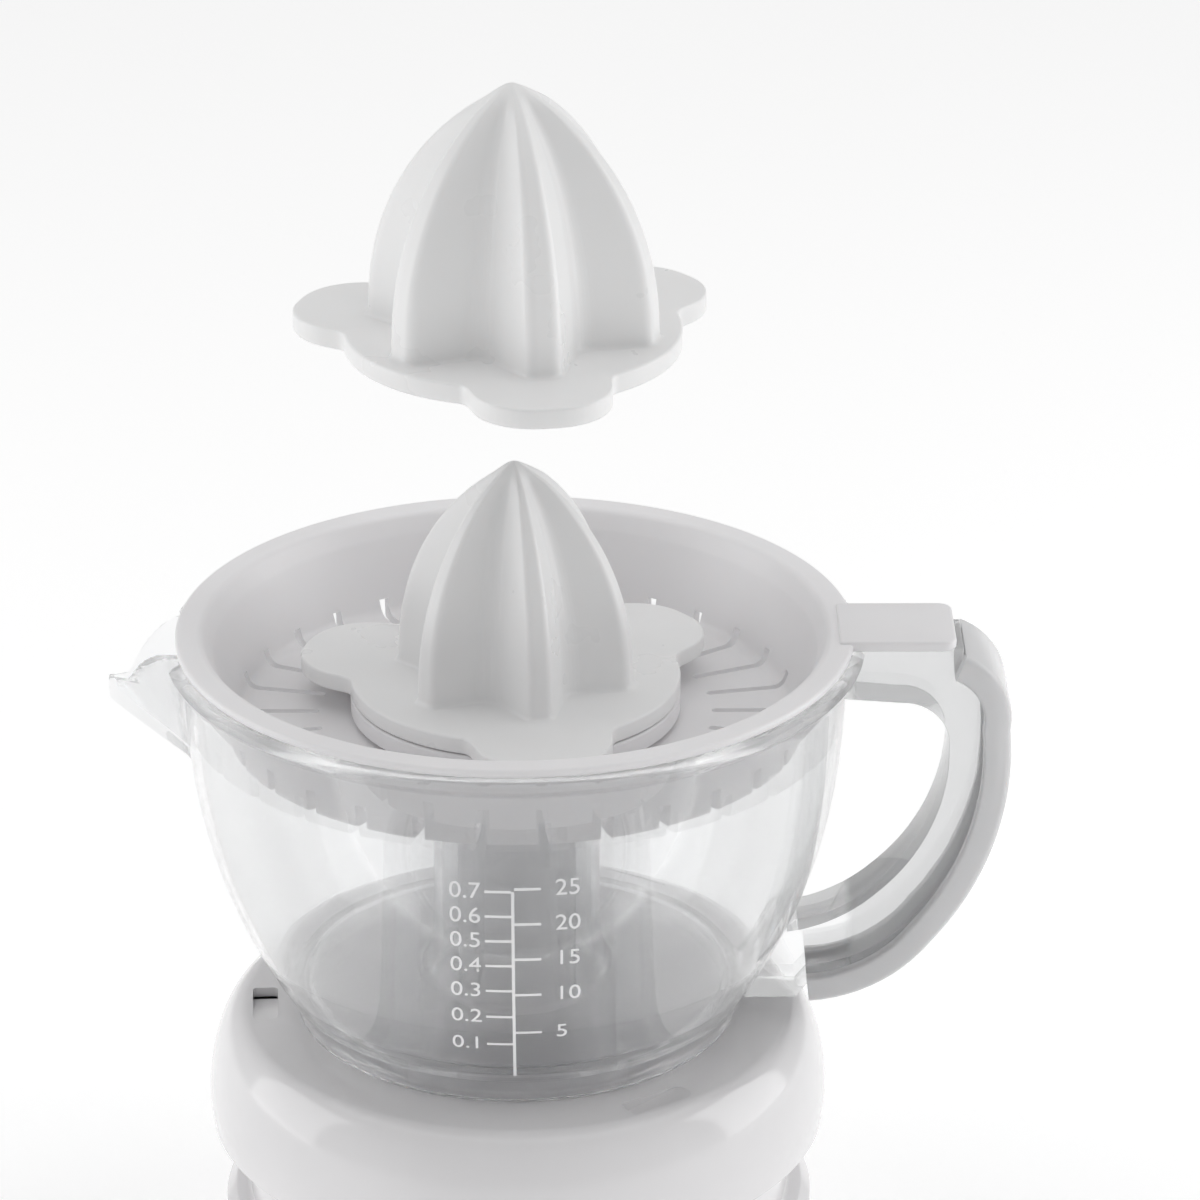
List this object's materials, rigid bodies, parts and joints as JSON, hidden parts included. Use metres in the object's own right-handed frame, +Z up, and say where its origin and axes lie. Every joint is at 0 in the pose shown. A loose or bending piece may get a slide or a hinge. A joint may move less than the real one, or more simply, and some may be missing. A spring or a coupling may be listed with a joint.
{
  "type": "citrus press juicer",
  "caption": "Electric citrus press: clear pouring jug with handle, strainer and nesting reaming cones on a geared motor base.",
  "frame": {"origin": "on the table plane under the feet, on the spindle's axis", "axes": "+Z up along the spindle, the spout points to -X, the handle to +X"},
  "size_m": [0.2104, 0.163, 0.3047],
  "materials": {
    "housing_white": "glossy moulded",
    "strainer_white": "satin moulded",
    "cone_white": "satin moulded",
    "jug_clear": "clear polished",
    "strap_pale": "satin moulded",
    "foot_rubber": "matt",
    "gland_rubber": "matt",
    "seal_rubber": "matt",
    "screw_steel": "zinc plated",
    "motor_steel": "plated",
    "plate_steel": "stamped",
    "shaft_steel": "ground",
    "spindle_steel": "ground",
    "spring_steel": "drawn wire",
    "coil_copper": "enamelled wire",
    "bush_brass": "sintered",
    "magnet_grey": "ferrite",
    "gear_nylon": "natural nylon",
    "gear_cover_white": "moulded",
    "switch_black": "moulded",
    "button_white": "moulded",
    "plunger_grey": "moulded",
    "capacitor_film": "potted box"
  },
  "bodies": {
    "base": {"upper_housing": "housing_white", "lower_housing": "housing_white", "cord_gland": "gland_rubber", "feet": "foot_rubber", "housing_screws": "screw_steel", "motor_can": "motor_steel", "stator_coils": "coil_copper", "motor_bushes": "bush_brass", "gear_plate": "plate_steel", "gear_cover": "gear_cover_white", "gear_axles": "shaft_steel", "gearbox_screws": "screw_steel", "lower_bush": "bush_brass", "upper_bush": "bush_brass", "spindle_seal": "seal_rubber", "return_spring": "spring_steel", "start_switch": "switch_black", "run_capacitor": "capacitor_film"},
    "rotor": {"rotor_magnet": "magnet_grey", "rotor_shaft": "shaft_steel", "motor_pinion": "bush_brass"},
    "idler_1": {"idler_gear_1": "gear_nylon"},
    "idler_2": {"idler_gear_2": "gear_nylon"},
    "plunger": {"press_plunger": "plunger_grey"},
    "button": {"switch_button": "button_white"},
    "spindle": {"output_gear": "gear_nylon", "drive_spindle": "spindle_steel"},
    "jug": {"jug": "jug_clear", "handle_strap": "strap_pale"},
    "strainer": {"strainer": "strainer_white"},
    "collar": {"cone_collar": "strainer_white"},
    "small_cone": {"small_cone": "cone_white"},
    "large_cone": {"large_cone": "cone_white"}
  },
  "joints": [
    {"name": "motor_spin", "type": "hinge", "parent": "base", "child": "rotor", "pos_m": [-0.03496, 0.01814, 0.03], "axis": [0, 0, 1], "continuous": true},
    {"name": "idler_1_spin", "type": "hinge", "parent": "base", "child": "idler_1", "pos_m": [-0.0216, 0.0315, 0.03], "axis": [0, 0, 1], "continuous": true},
    {"name": "idler_2_spin", "type": "hinge", "parent": "base", "child": "idler_2", "pos_m": [0, 0.0315, 0.03], "axis": [0, 0, 1], "continuous": true},
    {"name": "spindle_press", "type": "slide", "parent": "base", "child": "plunger", "axis": [0, 0, 1], "range_m": [-0.0016, 0], "stiffness_N_per_m": 500, "springref_m": 0.004, "deforming": ["return_spring"]},
    {"name": "switch_press", "type": "slide", "parent": "base", "child": "button", "axis": [0, 0, 1], "range_m": [-0.0016, 0]},
    {"name": "spindle_spin", "type": "hinge", "parent": "plunger", "child": "spindle", "pos_m": [0, 0, 0.03], "axis": [0, 0, 1], "continuous": true},
    {"name": "jug_lift", "type": "slide", "parent": "base", "child": "jug", "axis": [0, 0, 1], "range_m": [0, 0.1]},
    {"name": "strainer_lift", "type": "slide", "parent": "jug", "child": "strainer", "axis": [0, 0, 1], "range_m": [0, 0.03]},
    {"name": "cone_lift", "type": "slide", "parent": "strainer", "child": "collar", "axis": [0, 0, 1], "range_m": [0, 0.03]},
    {"name": "cone_spin", "type": "hinge", "parent": "collar", "child": "small_cone", "pos_m": [0, 0, 0.16], "axis": [0, 0, 1], "continuous": true},
    {"name": "large_cone_lift", "type": "slide", "parent": "small_cone", "child": "large_cone", "axis": [0, 0, 1], "range_m": [-0.0812, 0]}
  ],
  "couplings": [
    {"joint": "idler_1_spin", "follows": "motor_spin", "ratio": -0.22727},
    {"joint": "idler_2_spin", "follows": "motor_spin", "ratio": 0.064935},
    {"joint": "spindle_spin", "follows": "motor_spin", "ratio": -0.018553},
    {"joint": "cone_spin", "follows": "motor_spin", "ratio": -0.018553},
    {"joint": "switch_press", "follows": "spindle_press", "ratio": 1}
  ]
}
